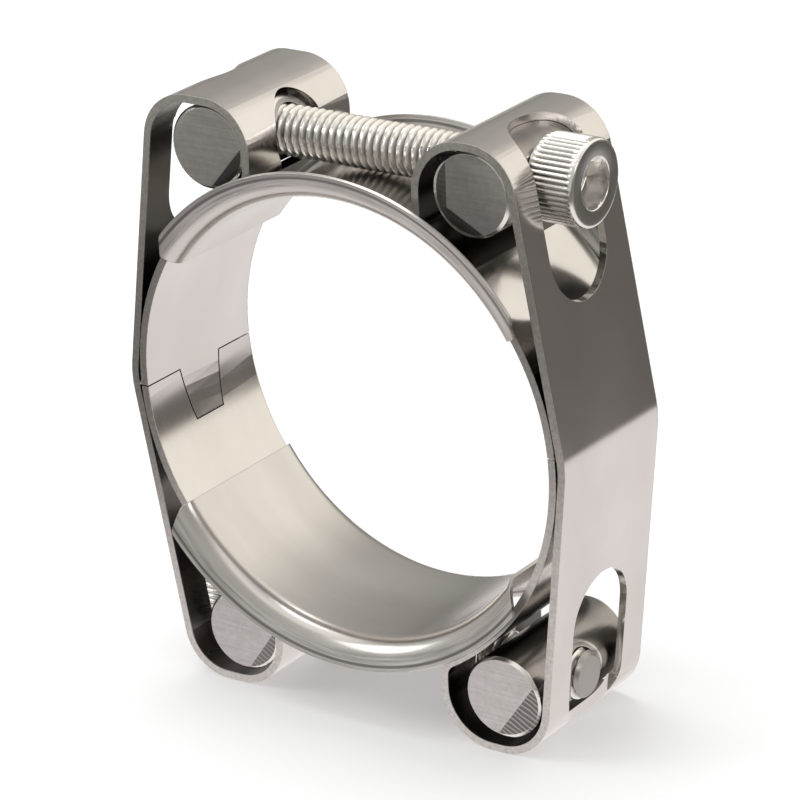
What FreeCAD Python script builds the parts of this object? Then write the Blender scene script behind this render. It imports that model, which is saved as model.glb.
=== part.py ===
import FreeCAD, Part
import math
import os

import Sketcher
from FreeCAD import Placement, Rotation, Vector

# Double-bolt T-bolt hose clamp. X runs along the bolts, Y along the hose, Z up. The origin is the
# middle of the hose bore. Two sprung straps, each one closed loop of strip, hold four trunnion pins.
# A cap screw joins the upper pins, another the lower pins, and two channel bridges close the gaps.

SIZES = (
    ("bore_diameter", 52.0, "hose diameter between the bridges"),
    ("bolt_rise", 3.45, "bolt axis above the bore"),
    ("strap_width", 20.0, "strip width along the hose"),
    ("strap_thickness", 0.9, "strip thickness"),
    ("right_arc_margin", 2.8, "right strap arc radius beyond the bore radius"),
    ("right_contact_angle", 47.0, "where the right strap lies on the top bridge"),
    ("left_arc_margin", 1.5, "left strap arc radius beyond the bore radius"),
    ("left_contact_angle", -66.0, "where the left strap lies on the bottom bridge"),
    ("layer_gap", 0.1, "gap between the inner layer and the outer leg"),
    ("leg_bend_radius", 12.0, "outer leg bend at mid height"),
    ("root_bend_radius", 2.4, "bend where the strip leaves the ring"),
    ("right_top_lean", 10.5, "lean of the right outer leg above its bend"),
    ("right_bottom_lean", 5.3, "lean of the right outer leg below its bend"),
    ("left_top_lean", 7.5, "lean of the left outer leg above its bend"),
    ("left_bottom_lean", 10.5, "lean of the left outer leg below its bend"),
    ("right_top_pin_place", 17.9, "upper right pin from the middle"),
    ("right_bottom_pin_place", 20.3, "lower right pin from the middle"),
    ("left_top_pin_place", 16.9, "upper left pin from the middle"),
    ("left_bottom_pin_place", 15.4, "lower left pin from the middle"),
    ("seat_gap", 0.02, "gap where a pin lies against its loop"),
    ("right_top_side_gap", 1.6, "inner side of the upper right loop to its pin"),
    ("right_bottom_side_gap", 2.1, "inner side of the lower right loop to its pin"),
    ("right_bottom_end_gap", 0.9, "end of the lower right loop to its pin"),
    ("left_bottom_end_gap", 0.7, "end of the lower left loop to its pin"),
    ("right_top_inner_radius", 6.4, "upper right loop, corner on the bore side"),
    ("right_top_outer_radius", 5.8, "upper right loop, corner on the leg side"),
    ("right_bottom_inner_radius", 6.5, "lower right loop, corner on the bore side"),
    ("right_bottom_outer_radius", 6.4, "lower right loop, corner on the leg side"),
    ("left_top_outer_radius", 6.0, "upper left loop, corner on the leg side"),
    ("left_bottom_inner_radius", 6.2, "lower left loop, corner on the bore side"),
    ("left_bottom_outer_radius", 5.8, "lower left loop, corner on the leg side"),
    ("slot_width", 11.5, "long slots in the outer leg"),
    ("slot_reach", 13.45, "slot end below the bolt axis"),
    ("head_slot_wrap", 0.2, "slot end beyond the pin axis over a loop with a bolt head"),
    ("nut_slot_wrap", -3.5, "slot end beyond the pin axis over a loop with a tapped pin"),
    ("window_width", 8.7, "bolt window on the bore side of a loop"),
    ("window_length", 9.4, "bolt window along the strip"),
    ("seam_height", 1.0, "strip joint from mid height"),
    ("seam_width", 0.16, "open line of the strip joint"),
    ("tongue_length", 6.4, "joint tongue length"),
    ("tongue_root", 7.6, "joint tongue width at its root"),
    ("tongue_tip", 5.2, "joint tongue width at its tip"),
    ("bridge_thickness", 0.45, "bridge sheet thickness"),
    ("bridge_seat_gap", 0.03, "gap where a strap lies on a bridge"),
    ("bridge_height", 3.4, "bridge flange above the bore"),
    ("bridge_flare", 18.0, "bridge flange lean"),
    ("bridge_bend_radius", 1.2, "bridge edge bend"),
    ("bridge_span", 113.5, "angle that a bridge covers"),
    ("top_bridge_turn", 1.75, "top bridge turned toward the right"),
    ("top_flange_cut_angle", 4.5, "upper bridge, flange corners cut back"),
    ("top_flange_cut_height", 1.3, "upper bridge, height of the flange corner cut"),
    ("bottom_flange_cut_angle", 4.0, "lower bridge, flange corners cut back"),
    ("bottom_flange_cut_height", 2.6, "lower bridge, height of the flange corner cut"),
    ("pin_diameter", 9.8, "trunnion pin diameter"),
    ("pin_recess", 0.3, "pin ends inside the edges of the strap"),
    ("pin_edge", 0.35, "edge break of the pins"),
    ("thread_bore", 6.1, "tapped hole in the nut pins"),
    ("plain_bore", 6.5, "clear hole in the head pins"),
    ("seat_depth", 1.15, "flat under the bolt head"),
    ("seat_width", 10.8, "spot face width"),
    ("head_diameter", 10.0, "cap screw head diameter"),
    ("head_height", 6.0, "cap screw head height"),
    ("head_edge", 0.5, "cap screw head edge"),
    ("head_gap", 0.02, "gap under the bolt head"),
    ("socket_width", 5.0, "hex socket across flats"),
    ("socket_depth", 3.0, "hex socket depth"),
    ("shank_diameter", 5.9, "bolt thread crest diameter"),
    ("shank_length", 45.0, "bolt length under the head"),
    ("shank_tip", 0.8, "bolt tip chamfer"),
    ("shank_neck", 3.0, "plain shank under the head"),
    ("thread_pitch", 1.0, "bolt thread pitch"),
    ("thread_depth", 0.6, "bolt thread groove depth"),
    ("thread_flank", 30.0, "bolt thread flank angle"),
    ("thread_crest", 0.16, "flat on the bolt thread crest"),
    ("shear_tilt", 11.0, "tilt of the sheared facet on a pin end"),
    ("right_bottom_shear", 2.05, "sheared facet from the lower right pin axis"),
    ("left_top_shear", 3.15, "sheared facet from the upper left pin axis"),
    ("right_top_shear", 3.0, "sheared facet from the upper right pin axis"),
    ("left_bottom_shear", 3.15, "sheared facet from the lower left pin axis"),
)

doc = FreeCAD.newDocument("t_bolt_clamp")
sheet = doc.addObject("Spreadsheet::Sheet", "Sizes")
for row, (alias, value, note) in enumerate(SIZES, start=1):
    sheet.set(f"A{row}", alias)
    sheet.set(f"B{row}", str(value))
    sheet.setAlias(f"B{row}", alias)
    sheet.set(f"C{row}", note)
doc.recompute()

# Values that follow from the sizes. Each strap is drawn as a right-hand one, so its x is positive
# and the left strap is the same drawing turned half round about the vertical.
derived = doc.addObject("App::VarSet", "Derived")


def derive(name, expression):
    derived.addProperty("App::PropertyFloat", name, "Derived")
    derived.setExpression(name, expression)
    doc.recompute()


def value_of(expression):
    result = sheet.evalExpression(expression)
    return float(getattr(result, "Value", result))


derive("bore_radius", "Sizes.bore_diameter / 2")
derive("pin_radius", "Sizes.pin_diameter / 2")
derive("pin_length", "Sizes.strap_width - 2 * Sizes.pin_recess")
derive("bolt_height", "Derived.bore_radius + Sizes.bolt_rise")
derive("bridge_outside", "Derived.bore_radius + Sizes.bridge_thickness + Sizes.bridge_seat_gap")
for side in ("right", "left"):
    arc, angle = f"Derived.{side}_arc_radius", f"(Sizes.{side}_contact_angle * 1 deg)"
    derive(f"{side}_arc_radius", f"Derived.bore_radius + Sizes.{side}_arc_margin")
    derive(f"{side}_arc_x", f"(Derived.bridge_outside - {arc}) * cos{angle}")
    derive(f"{side}_arc_z", f"(Derived.bridge_outside - {arc}) * sin{angle}")
    # The leg bend is placed so that both straight runs of the leg clear the inner layer evenly.
    reach = f"({arc} + 2 * Sizes.strap_thickness + Sizes.layer_gap - Sizes.leg_bend_radius)"
    half = f"((Sizes.{side}_top_lean + Sizes.{side}_bottom_lean) / 2 * 1 deg)"
    turn = f"((Sizes.{side}_top_lean - Sizes.{side}_bottom_lean) / 2 * 1 deg)"
    derive(f"{side}_bend_x", f"Derived.{side}_arc_x + {reach} / cos{half} * cos{turn}")
    derive(f"{side}_bend_z", f"Derived.{side}_arc_z + {reach} / cos{half} * sin{turn}")
for corner in ("right_top", "right_bottom", "left_top", "left_bottom"):
    side, end = corner.split("_")
    # The inside of the outer leg at the height of the bolt.
    lean, sign = f"(Sizes.{corner}_lean * 1 deg)", "+" if end == "top" else "-"
    inside = "Sizes.leg_bend_radius - Sizes.strap_thickness"
    drop = f"(Derived.bolt_height - ({sign} Derived.{side}_bend_z)) * sin{lean}"
    derive(f"{corner}_pin_x", f"Sizes.{corner}_pin_place")
    derive(f"{corner}_leg_x", f"Derived.{side}_bend_x + ({inside} - {drop}) / cos{lean}")
derive("left_top_inner_radius", "Derived.pin_radius + Sizes.seat_gap + Sizes.strap_thickness")
LOOP_GAPS = {
    "right_top": ("Sizes.right_top_side_gap", "Sizes.seat_gap"),
    "right_bottom": ("Sizes.right_bottom_side_gap", "Sizes.right_bottom_end_gap"),
    "left_top": ("Sizes.seat_gap", "Sizes.seat_gap"),
    "left_bottom": ("Sizes.seat_gap", "Sizes.left_bottom_end_gap"),
}
for corner, (side_gap, end_gap) in LOOP_GAPS.items():
    wall = "Derived.pin_radius + Sizes.strap_thickness"
    derive(f"{corner}_side_x", f"Derived.{corner}_pin_x - ({wall} + {side_gap})")
    derive(f"{corner}_end_z", f"Derived.bolt_height + {wall} + {end_gap}")


def origin_plane(body, role):
    return next(item for item in body.Origin.OriginFeatures if item.Role == role)


def new_sketch(body, name, role, offset=None):
    sketch = body.newObject("Sketcher::SketchObject", name)
    sketch.AttachmentSupport = [(origin_plane(body, role), "")]
    sketch.MapMode = "FlatFace"
    if offset:
        sketch.setExpression("AttachmentOffset.Base.z", offset)
    return sketch


def bind(sketch, name, expression, kind, *where):
    """Add one dimension to a sketch and bind it to an expression."""
    value = value_of(expression)
    if kind in ("DistanceX", "DistanceY") and value < 0:
        where = where[2:] + where[:2]
        value = -value
        expression = f"-({expression})"
    if kind == "Angle":
        value = math.radians(value)
        expression = f"({expression}) * 1 deg"
    index = sketch.addConstraint(Sketcher.Constraint(kind, *where, value))
    sketch.renameConstraint(index, name)
    sketch.setExpression(f"Constraints.{name}", expression)


def polygon(sketch, corners, prefix="p"):
    """Closed outline whose corners are pairs of expressions."""
    points = [Vector(value_of(x), value_of(y), 0) for x, y in corners]
    first = sketch.GeometryCount
    count = len(points)
    for i in range(count):
        sketch.addGeometry(Part.LineSegment(points[i], points[(i + 1) % count]))
    for i in range(count):
        sketch.addConstraint(
            Sketcher.Constraint("Coincident", first + i, 2, first + (i + 1) % count, 1)
        )
    for i, (x, y) in enumerate(corners):
        for axis, text, number in (("X", x, points[i].x), ("Y", y, points[i].y)):
            if abs(number) < 1e-9:
                line = -2 if axis == "X" else -1
                sketch.addConstraint(Sketcher.Constraint("PointOnObject", first + i, 1, line))
            else:
                bind(sketch, f"{prefix}{i}{axis}", text, f"Distance{axis}", -1, 1, first + i, 1)


def circle(sketch, radius, x="0", y="0", name="r"):
    centre = Vector(value_of(x), value_of(y), 0)
    index = sketch.addGeometry(Part.Circle(centre, Vector(0, 0, 1), value_of(radius)))
    for axis, text, number in (("X", x, centre.x), ("Y", y, centre.y)):
        if abs(number) < 1e-9:
            line = -2 if axis == "X" else -1
            sketch.addConstraint(Sketcher.Constraint("PointOnObject", index, 3, line))
        else:
            bind(sketch, f"{name}_{axis}", text, f"Distance{axis}", -1, 1, index, 3)
    bind(sketch, name, radius, "Radius", index)


def obround(sketch, half_width, low, high):
    """Upright slot outline, centred on the sketch's vertical axis, with round ends."""
    w, a, b = value_of(half_width), value_of(low), value_of(high)
    up = Vector(0, 0, 1)
    sketch.addGeometry(Part.ArcOfCircle(Part.Circle(Vector(0, b - w, 0), up, w), 0, math.pi))
    sketch.addGeometry(Part.LineSegment(Vector(-w, b - w, 0), Vector(-w, a + w, 0)))
    sketch.addGeometry(
        Part.ArcOfCircle(Part.Circle(Vector(0, a + w, 0), up, w), math.pi, 2 * math.pi)
    )
    sketch.addGeometry(Part.LineSegment(Vector(w, a + w, 0), Vector(w, b - w, 0)))
    for joint in ((0, 2, 1, 1), (1, 2, 2, 1), (2, 2, 3, 1), (3, 2, 0, 1)):
        sketch.addConstraint(Sketcher.Constraint("Tangent", *joint))
    sketch.addConstraint(Sketcher.Constraint("PointOnObject", 0, 3, -2))
    sketch.addConstraint(Sketcher.Constraint("Vertical", 1))
    bind(sketch, "half_width", half_width, "Radius", 0)
    bind(sketch, "top", f"({high}) - ({half_width})", "DistanceY", -1, 1, 0, 3)
    bind(sketch, "bottom", f"({low}) + ({half_width})", "DistanceY", -1, 1, 2, 3)


def pad(body, sketch, length, symmetric=True, turned=False):
    feature = body.newObject("PartDesign::Pad", f"{sketch.Name}_pad")
    feature.Profile = sketch
    feature.SideType = "Symmetric" if symmetric else "One side"
    feature.Reversed = turned
    feature.setExpression("Length", length)
    doc.recompute()
    return feature


def pocket(body, sketch, length=None, symmetric=False, turned=False):
    """Cut a sketch into the body and check that it removed something."""
    before = body.Shape.Volume
    feature = body.newObject("PartDesign::Pocket", f"{sketch.Name}_cut")
    feature.Profile = sketch
    feature.SideType = "Symmetric" if symmetric else "One side"
    feature.Reversed = turned
    if length:
        feature.setExpression("Length", length)
    else:
        feature.Type = "ThroughAll"
    doc.recompute()
    if body.Shape.Volume > before - 1e-3:
        raise RuntimeError(f"{feature.Name} removed nothing")
    return feature


def strap_outline(body, side, name, inset):
    """Closed outline of a strap loop: ring arc, two pin loops and the bent outer leg."""
    sketch = new_sketch(body, name, "XZ_Plane")
    ring = f"Derived.{side}_arc_radius + {inset}"
    root = f"Sizes.root_bend_radius - {inset}"
    bend = f"Sizes.leg_bend_radius - {inset}"
    ends = {}
    for end, sign in (("top", 1), ("bottom", -1)):
        corner = f"{side}_{end}"
        inner = "Derived" if corner == "left_top" else "Sizes"
        ends[sign] = {
            "side": f"Derived.{corner}_side_x + {inset}",
            "end": f"Derived.{corner}_end_z - {inset}",
            "inner": f"{inner}.{corner}_inner_radius - {inset}",
            "outer": f"Sizes.{corner}_outer_radius - {inset}",
            "lean": f"Sizes.{corner}_lean",
        }
    up = Vector(0, 0, 1)
    centre = Vector(value_of(f"Derived.{side}_arc_x"), value_of(f"Derived.{side}_arc_z"), 0)
    leg = Vector(value_of(f"Derived.{side}_bend_x"), value_of(f"Derived.{side}_bend_z"), 0)
    radius, small, wide = value_of(ring), value_of(root), value_of(bend)
    place = {}
    for sign, text in ends.items():
        x, z = value_of(text["side"]), value_of(text["end"])
        inner, outer = value_of(text["inner"]), value_of(text["outer"])
        tilt = math.radians(value_of(text["lean"]))
        out = Vector(math.cos(tilt), sign * math.sin(tilt), 0)
        across = x + small - centre.x
        turn = Vector(x + small, centre.y + sign * math.sqrt((radius + small) ** 2 - across**2), 0)
        near = Vector(x + inner, sign * (z - inner), 0)
        far_z = sign * (z - outer)
        far_x = (leg.dot(out) + wide - outer - far_z * out.y) / out.x
        place[sign] = (x, z, inner, outer, out, turn, near, Vector(far_x, far_z, 0))

    def arc(middle, size, start, stop):
        a = math.atan2(start.y - middle.y, start.x - middle.x)
        b = math.atan2(stop.y - middle.y, stop.x - middle.x)
        if b < a:
            b += 2 * math.pi
        sketch.addGeometry(Part.ArcOfCircle(Part.Circle(middle, up, size), a, b))

    def line(start, stop):
        sketch.addGeometry(Part.LineSegment(start, stop))

    x, z, inner, outer, out, turn, near, far = place[1]
    xb, zb, inner_b, outer_b, out_b, turn_b, near_b, far_b = place[-1]
    leave = centre + (turn - centre) * (radius / (radius + small))
    leave_b = centre + (turn_b - centre) * (radius / (radius + small))
    arc(centre, radius, leave_b, leave)
    arc(turn, small, Vector(x, turn.y, 0), leave)
    line(Vector(x, turn.y, 0), Vector(x, near.y, 0))
    arc(near, inner, Vector(near.x, z, 0), Vector(x, near.y, 0))
    line(Vector(near.x, z, 0), Vector(far.x, z, 0))
    arc(far, outer, far + out * outer, Vector(far.x, z, 0))
    line(far + out * outer, leg + out * wide)
    arc(leg, wide, leg + out_b * wide, leg + out * wide)
    line(leg + out_b * wide, far_b + out_b * outer_b)
    arc(far_b, outer_b, Vector(far_b.x, -zb, 0), far_b + out_b * outer_b)
    line(Vector(far_b.x, -zb, 0), Vector(near_b.x, -zb, 0))
    arc(near_b, inner_b, Vector(xb, near_b.y, 0), Vector(near_b.x, -zb, 0))
    line(Vector(xb, near_b.y, 0), Vector(xb, turn_b.y, 0))
    arc(turn_b, small, leave_b, Vector(xb, turn_b.y, 0))

    sketch.addConstraint(Sketcher.Constraint("Tangent", 0, 2, 1, 2))
    for i in range(1, 13):
        ends_at, starts_at = (1, 1) if i % 2 else (2, 2)
        sketch.addConstraint(Sketcher.Constraint("Tangent", i, ends_at, i + 1, starts_at))
    sketch.addConstraint(Sketcher.Constraint("Tangent", 13, 1, 0, 1))
    for kind, index in (("Vertical", 2), ("Horizontal", 4), ("Horizontal", 10), ("Vertical", 12)):
        sketch.addConstraint(Sketcher.Constraint(kind, index))
    bind(sketch, "ring", ring, "Radius", 0)
    bind(sketch, "ring_x", f"Derived.{side}_arc_x", "DistanceX", -1, 1, 0, 3)
    bind(sketch, "ring_z", f"Derived.{side}_arc_z", "DistanceY", -1, 1, 0, 3)
    bind(sketch, "top_root", root, "Radius", 1)
    bind(sketch, "bottom_root", root, "Radius", 13)
    bind(sketch, "top_side", ends[1]["side"], "DistanceX", -1, 1, 2, 1)
    bind(sketch, "bottom_side", ends[-1]["side"], "DistanceX", -1, 1, 12, 1)
    bind(sketch, "top_end", ends[1]["end"], "DistanceY", -1, 1, 4, 1)
    bind(sketch, "bottom_end", f"-({ends[-1]['end']})", "DistanceY", -1, 1, 10, 1)
    bind(sketch, "top_inner", ends[1]["inner"], "Radius", 3)
    bind(sketch, "bottom_inner", ends[-1]["inner"], "Radius", 11)
    bind(sketch, "top_outer", ends[1]["outer"], "Radius", 5)
    bind(sketch, "bottom_outer", ends[-1]["outer"], "Radius", 9)
    bind(sketch, "bend", bend, "Radius", 7)
    bind(sketch, "bend_x", f"Derived.{side}_bend_x", "DistanceX", -1, 1, 7, 3)
    bind(sketch, "bend_z", f"Derived.{side}_bend_z", "DistanceY", -1, 1, 7, 3)
    bind(sketch, "top_lean", f"{ends[1]['lean']} - 90", "Angle", 6)
    bind(sketch, "bottom_lean", f"-90 - {ends[-1]['lean']}", "Angle", 8)
    return sketch


def make_strap(side):
    """One strap: a closed loop of strip with leg slots, bolt windows and an interlocked joint."""
    body = doc.addObject("PartDesign::Body", f"{side}_strip")
    outline = strap_outline(body, side, f"{side}_outline", "0")
    pad(body, outline, "Sizes.strap_width")
    hollow = strap_outline(body, side, f"{side}_hollow", "Sizes.strap_thickness")
    pocket(body, hollow, "Sizes.strap_width * 2", symmetric=True)
    half_slot, half_window = "Sizes.slot_width / 2", "Sizes.window_width / 2"
    for end, sign in (("top", "1"), ("bottom", "-1")):
        corner = f"{side}_{end}"
        pin_x = f"Derived.{corner}_pin_x"
        reach = f"(Derived.bolt_height - Sizes.slot_reach)"
        mouth = f"(Derived.bolt_height + {half_slot})"
        # Slot down the outer leg, from the loop's shoulder to its round end.
        low, high = (reach, mouth) if sign == "1" else (f"-{mouth}", f"-{reach}")
        leg_face = f"Derived.{corner}_leg_x - Sizes.strap_thickness / 4"
        leg_slot = new_sketch(body, f"{corner}_leg_slot", "YZ_Plane", leg_face)
        obround(leg_slot, half_slot, low, high)
        pocket(body, leg_slot, turned=True)
        # The same slot over the loop, up to its round end above the pin.
        shoulder = new_sketch(body, f"{corner}_shoulder", "XY_Plane", f"{sign} * Derived.bolt_height")
        wrap = "head" if corner in ("right_top", "left_bottom") else "nut"
        start = f"({pin_x} - Sizes.{wrap}_slot_wrap)"
        w, a = value_of(half_slot), value_of(start)
        far = f"({start} + 3 * Sizes.slot_width)"
        up = Vector(0, 0, 1)
        b = value_of(far)
        shoulder.addGeometry(
            Part.ArcOfCircle(Part.Circle(Vector(a + w, 0, 0), up, w), math.pi / 2, 1.5 * math.pi)
        )
        shoulder.addGeometry(Part.LineSegment(Vector(a + w, -w, 0), Vector(b, -w, 0)))
        shoulder.addGeometry(Part.LineSegment(Vector(b, -w, 0), Vector(b, w, 0)))
        shoulder.addGeometry(Part.LineSegment(Vector(b, w, 0), Vector(a + w, w, 0)))
        shoulder.addConstraint(Sketcher.Constraint("Tangent", 0, 2, 1, 1))
        shoulder.addConstraint(Sketcher.Constraint("Coincident", 1, 2, 2, 1))
        shoulder.addConstraint(Sketcher.Constraint("Coincident", 2, 2, 3, 1))
        shoulder.addConstraint(Sketcher.Constraint("Tangent", 3, 2, 0, 1))
        shoulder.addConstraint(Sketcher.Constraint("PointOnObject", 0, 3, -1))
        shoulder.addConstraint(Sketcher.Constraint("Horizontal", 1))
        shoulder.addConstraint(Sketcher.Constraint("Vertical", 2))
        bind(shoulder, "half_width", half_slot, "Radius", 0)
        bind(shoulder, "middle", f"{start} + {half_slot}", "DistanceX", -1, 1, 0, 3)
        bind(shoulder, "far", far, "DistanceX", -1, 1, 2, 1)
        pocket(body, shoulder, turned=(sign == "1"))
        # Window for the bolt on the bore side of the loop.
        window = new_sketch(body, f"{corner}_window", "YZ_Plane", f"{pin_x}")
        middle = f"{sign} * Derived.bolt_height"
        obround(
            window,
            half_window,
            f"{middle} - Sizes.window_length / 2",
            f"{middle} + Sizes.window_length / 2",
        )
        pocket(body, window, "2 * Sizes.pin_diameter")
    # Interlocked joint of the strip ends: a tapered tongue in a matching notch, on the inner layer.
    sign = "1" if side == "right" else "-1"
    seam = doc.addObject("PartDesign::Body", f"{side}_seam")
    line = new_sketch(seam, f"{side}_seam_line", "YZ_Plane")
    base, tip = f"{sign} * Sizes.seam_height", f"{sign} * (Sizes.seam_height + Sizes.tongue_length)"
    half = "Sizes.seam_width / 2"
    wide, root, nose = "Sizes.strap_width", "Sizes.tongue_root / 2", "Sizes.tongue_tip / 2"
    path = ((f"-{wide}", base), (f"-{root}", base), (f"-{nose}", tip))
    path += ((nose, tip), (root, base), (wide, base))
    grow = (("0", "1"), ("-1", "1"), ("-1", "1"), ("1", "1"), ("1", "1"), ("0", "1"))
    over = [
        (f"{x} + {dx} * {half}", f"{z} + {sign} * {dz} * {half}")
        for (x, z), (dx, dz) in zip(path, grow)
    ]
    under = [
        (f"{x} - {dx} * {half}", f"{z} - {sign} * {dz} * {half}")
        for (x, z), (dx, dz) in zip(path, grow)
    ]
    polygon(line, over + under[::-1])
    pad(seam, line, "2 * Derived.bore_radius", symmetric=False)
    reach = doc.addObject("Part::Cylinder", f"{side}_seam_reach")
    reach.setExpression(
        "Radius",
        f"Derived.{side}_arc_radius + Sizes.strap_thickness + Sizes.layer_gap / 2",
    )
    reach.setExpression("Height", "3 * Sizes.strap_width")
    reach.setExpression("Placement.Base.x", f"Derived.{side}_arc_x")
    reach.setExpression("Placement.Base.z", f"Derived.{side}_arc_z")
    reach.setExpression("Placement.Base.y", "1.5 * Sizes.strap_width")
    reach.Placement.Rotation = Rotation(Vector(1, 0, 0), 90)
    tool = doc.addObject("Part::Common", f"{side}_seam_tool")
    tool.Base, tool.Tool = seam, reach
    strap = doc.addObject("Part::Cut", f"{side}_strap")
    strap.Base, strap.Tool = body, tool
    strap.Label = f"{side}_strap"
    if side == "left":
        strap.Placement = Placement(Vector(0, 0, 0), Rotation(Vector(0, 0, 1), 180))
    doc.recompute()
    return strap


def make_bridge(name, angle):
    """Curved channel that bridges a gap, with flanges that lean away from the strap's edges."""
    body = doc.addObject("PartDesign::Body", name)
    section = new_sketch(body, f"{name}_section", "YZ_Plane")
    bore, bend = "Derived.bore_radius", "Sizes.bridge_bend_radius"
    thick, flare = "Sizes.bridge_thickness", "Sizes.bridge_flare"
    mid_y = "Sizes.strap_width / 2"
    r, rho, t = value_of(bore), value_of(bend), value_of(thick)
    lean, y = math.radians(value_of(flare)), value_of(mid_y)
    tip = value_of(f"{bore} + Sizes.bridge_height")
    normal, along = Vector(math.cos(lean), -math.sin(lean), 0), Vector(math.sin(lean), math.cos(lean), 0)
    middle = Vector(y, r + rho, 0)
    start = middle + normal * rho
    stop = start + along * ((tip - start.y) / along.y)
    inner, inside = middle + normal * (rho - t), stop - normal * t
    up = Vector(0, 0, 1)
    section.addGeometry(Part.LineSegment(Vector(0, r + t, 0), Vector(0, r, 0)))
    section.addGeometry(Part.LineSegment(Vector(0, r, 0), Vector(y, r, 0)))
    section.addGeometry(Part.ArcOfCircle(Part.Circle(middle, up, rho), 1.5 * math.pi, 2 * math.pi - lean))
    section.addGeometry(Part.LineSegment(start, stop))
    section.addGeometry(Part.LineSegment(stop, inside))
    section.addGeometry(Part.LineSegment(inside, inner))
    section.addGeometry(
        Part.ArcOfCircle(Part.Circle(middle, up, rho - t), 1.5 * math.pi, 2 * math.pi - lean)
    )
    section.addGeometry(Part.LineSegment(Vector(y, r + t, 0), Vector(0, r + t, 0)))
    for kind, *where in (
        ("Coincident", 0, 2, 1, 1),
        ("Tangent", 1, 2, 2, 1),
        ("Tangent", 2, 2, 3, 1),
        ("Coincident", 3, 2, 4, 1),
        ("Coincident", 4, 2, 5, 1),
        ("Tangent", 5, 2, 6, 2),
        ("Tangent", 6, 1, 7, 1),
        ("Coincident", 7, 2, 0, 1),
        ("PointOnObject", 0, 1, -2),
        ("PointOnObject", 0, 2, -2),
        ("Horizontal", 1),
        ("Horizontal", 7),
        ("Coincident", 2, 3, 6, 3),
        ("Parallel", 3, 5),
        ("Perpendicular", 3, 4),
    ):
        section.addConstraint(Sketcher.Constraint(kind, *where))
    bind(section, "bore", bore, "DistanceY", -1, 1, 1, 1)
    bind(section, "bend", bend, "Radius", 2)
    bind(section, "inner_bend", f"{bend} - {thick}", "Radius", 6)
    bind(section, "root", mid_y, "DistanceX", -1, 1, 2, 3)
    bind(section, "flare", f"90 - {flare}", "Angle", 3)
    bind(section, "tip", f"{bore} + Sizes.bridge_height", "DistanceY", -1, 1, 3, 2)
    ring = body.newObject("PartDesign::Revolution", f"{name}_ring")
    ring.Profile = section
    ring.ReferenceAxis = (section, ["H_Axis"])
    ring.Midplane = True
    ring.setExpression("Angle", "Sizes.bridge_span")
    doc.recompute()
    mirror = body.newObject("PartDesign::Mirrored", f"{name}_mirror")
    mirror.Originals = [ring]
    mirror.MirrorPlane = (origin_plane(body, "XZ_Plane"), [""])
    body.Tip = mirror
    doc.recompute()
    # Corners of the flange ends cut back.
    ends = new_sketch(body, f"{name}_ends", "XZ_Plane")
    end = name.split("_")[0]
    cut, low = f"Sizes.{end}_flange_cut_angle", f"Sizes.{end}_flange_cut_height"
    tip = f"({bore} + Sizes.bridge_height)"
    root = f"({tip} - {low})"
    for sign in (1, -1):
        edge = f"(Sizes.bridge_span / 2 * {sign} * 1 deg)"
        back = f"((Sizes.bridge_span / 2 - {cut}) * {sign} * 1 deg)"
        over = f"((Sizes.bridge_span / 2 + 1) * {sign} * 1 deg)"
        polygon(
            ends,
            (
                (f"{root} * sin{edge}", f"{root} * cos{edge}"),
                (f"{tip} * sin{back}", f"{tip} * cos{back}"),
                (f"({tip} + {low}) * sin{back}", f"({tip} + {low}) * cos{back}"),
                (f"({tip} + {low}) * sin{over}", f"({tip} + {low}) * cos{over}"),
                (f"{root} * sin{over}", f"{root} * cos{over}"),
            ),
            prefix="a" if sign == 1 else "b",
        )
    pocket(body, ends, "4 * Sizes.strap_width", symmetric=True)
    body.Label = name
    body.Placement = Placement(Vector(0, 0, 0), Rotation(Vector(0, 1, 0), value_of(angle)))
    body.setExpression("Placement.Rotation.Angle", f"({angle}) * 1 deg")
    return body


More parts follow.
